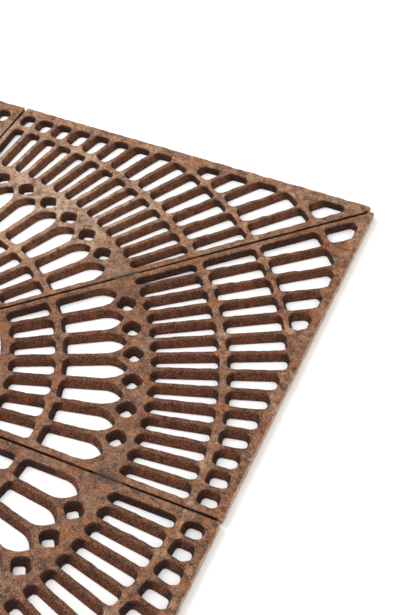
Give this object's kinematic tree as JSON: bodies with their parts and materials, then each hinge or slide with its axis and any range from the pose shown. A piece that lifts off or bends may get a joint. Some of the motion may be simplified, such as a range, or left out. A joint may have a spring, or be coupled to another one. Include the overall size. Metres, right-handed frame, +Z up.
{
  "type": "tree grate",
  "caption": "Square cast iron tree grate in triangular sections, with rings of radial slots, a ring of pointed slots and small square holes around a round tree opening.",
  "frame": {"origin": "middle of the tree opening, on the ground under the grate", "axes": "+X and +Y from the middle towards the middles of two sides of the square, +Z up"},
  "size_m": [1.8, 1.8, 0.018],
  "materials": {
    "rusted_iron": "rusted, rough as cast, dusty on top",
    "rusted_steel": "rusted"
  },
  "bodies": {
    "root": {"section_1": "rusted_iron", "section_2": "rusted_iron", "section_3": "rusted_iron", "section_4": "rusted_iron", "section_5": "rusted_iron", "section_6": "rusted_iron", "section_7": "rusted_iron", "section_8": "rusted_iron", "bolt_1": "rusted_steel", "bolt_2": "rusted_steel", "bolt_3": "rusted_steel", "bolt_4": "rusted_steel", "bolt_5": "rusted_steel", "bolt_6": "rusted_steel", "bolt_7": "rusted_steel", "bolt_8": "rusted_steel", "nut_1": "rusted_steel", "nut_2": "rusted_steel", "nut_3": "rusted_steel", "nut_4": "rusted_steel", "nut_5": "rusted_steel", "nut_6": "rusted_steel", "nut_7": "rusted_steel", "nut_8": "rusted_steel"}
  },
  "joints": []
}
